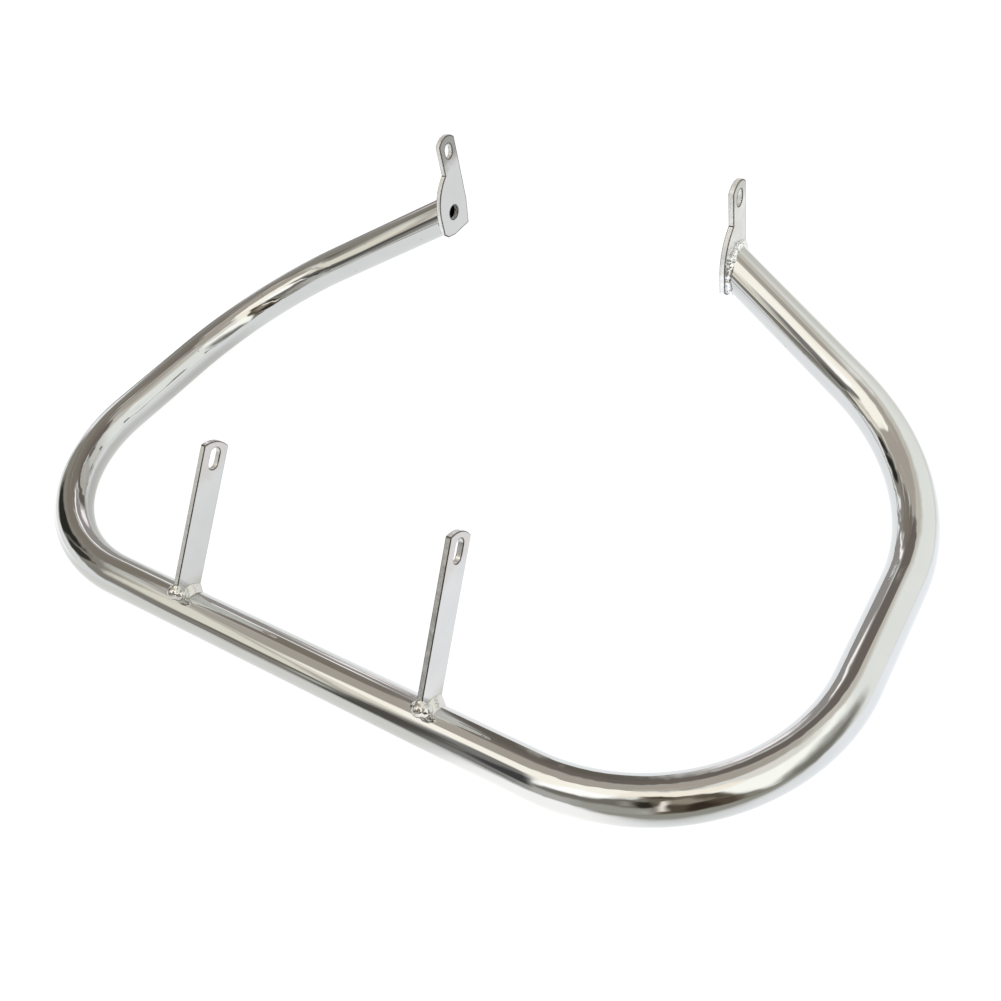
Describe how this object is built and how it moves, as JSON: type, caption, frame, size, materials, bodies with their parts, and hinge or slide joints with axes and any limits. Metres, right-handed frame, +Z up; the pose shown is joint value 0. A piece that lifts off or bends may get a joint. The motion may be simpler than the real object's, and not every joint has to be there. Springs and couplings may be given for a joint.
{
  "type": "motorcycle crash bars",
  "caption": "Polished tube bent into a wide loop with raised arms, ending in upright slotted plates that bolt to a motorcycle's frame, with leaning slotted straps on its front straight.",
  "frame": {"origin": "on the floor, under the middle of the part's bounding box", "axes": "+X across the motorcycle, +Y from the lower straight towards the end plates, +Z up, with the loop lying on the floor"},
  "size_m": [0.721, 0.464, 0.1753],
  "materials": {
    "chrome": "polished chrome plating on steel",
    "weld": "chrome plating over a lumpy weld bead"
  },
  "bodies": {
    "root": {"hoop_tube": "chrome", "end_plate_left": "chrome", "end_plate_right": "chrome", "strap_left": "chrome", "strap_right": "chrome", "end_weld_left": "weld", "end_weld_right": "weld", "strap_weld_left": "weld", "strap_weld_right": "weld"}
  },
  "joints": []
}
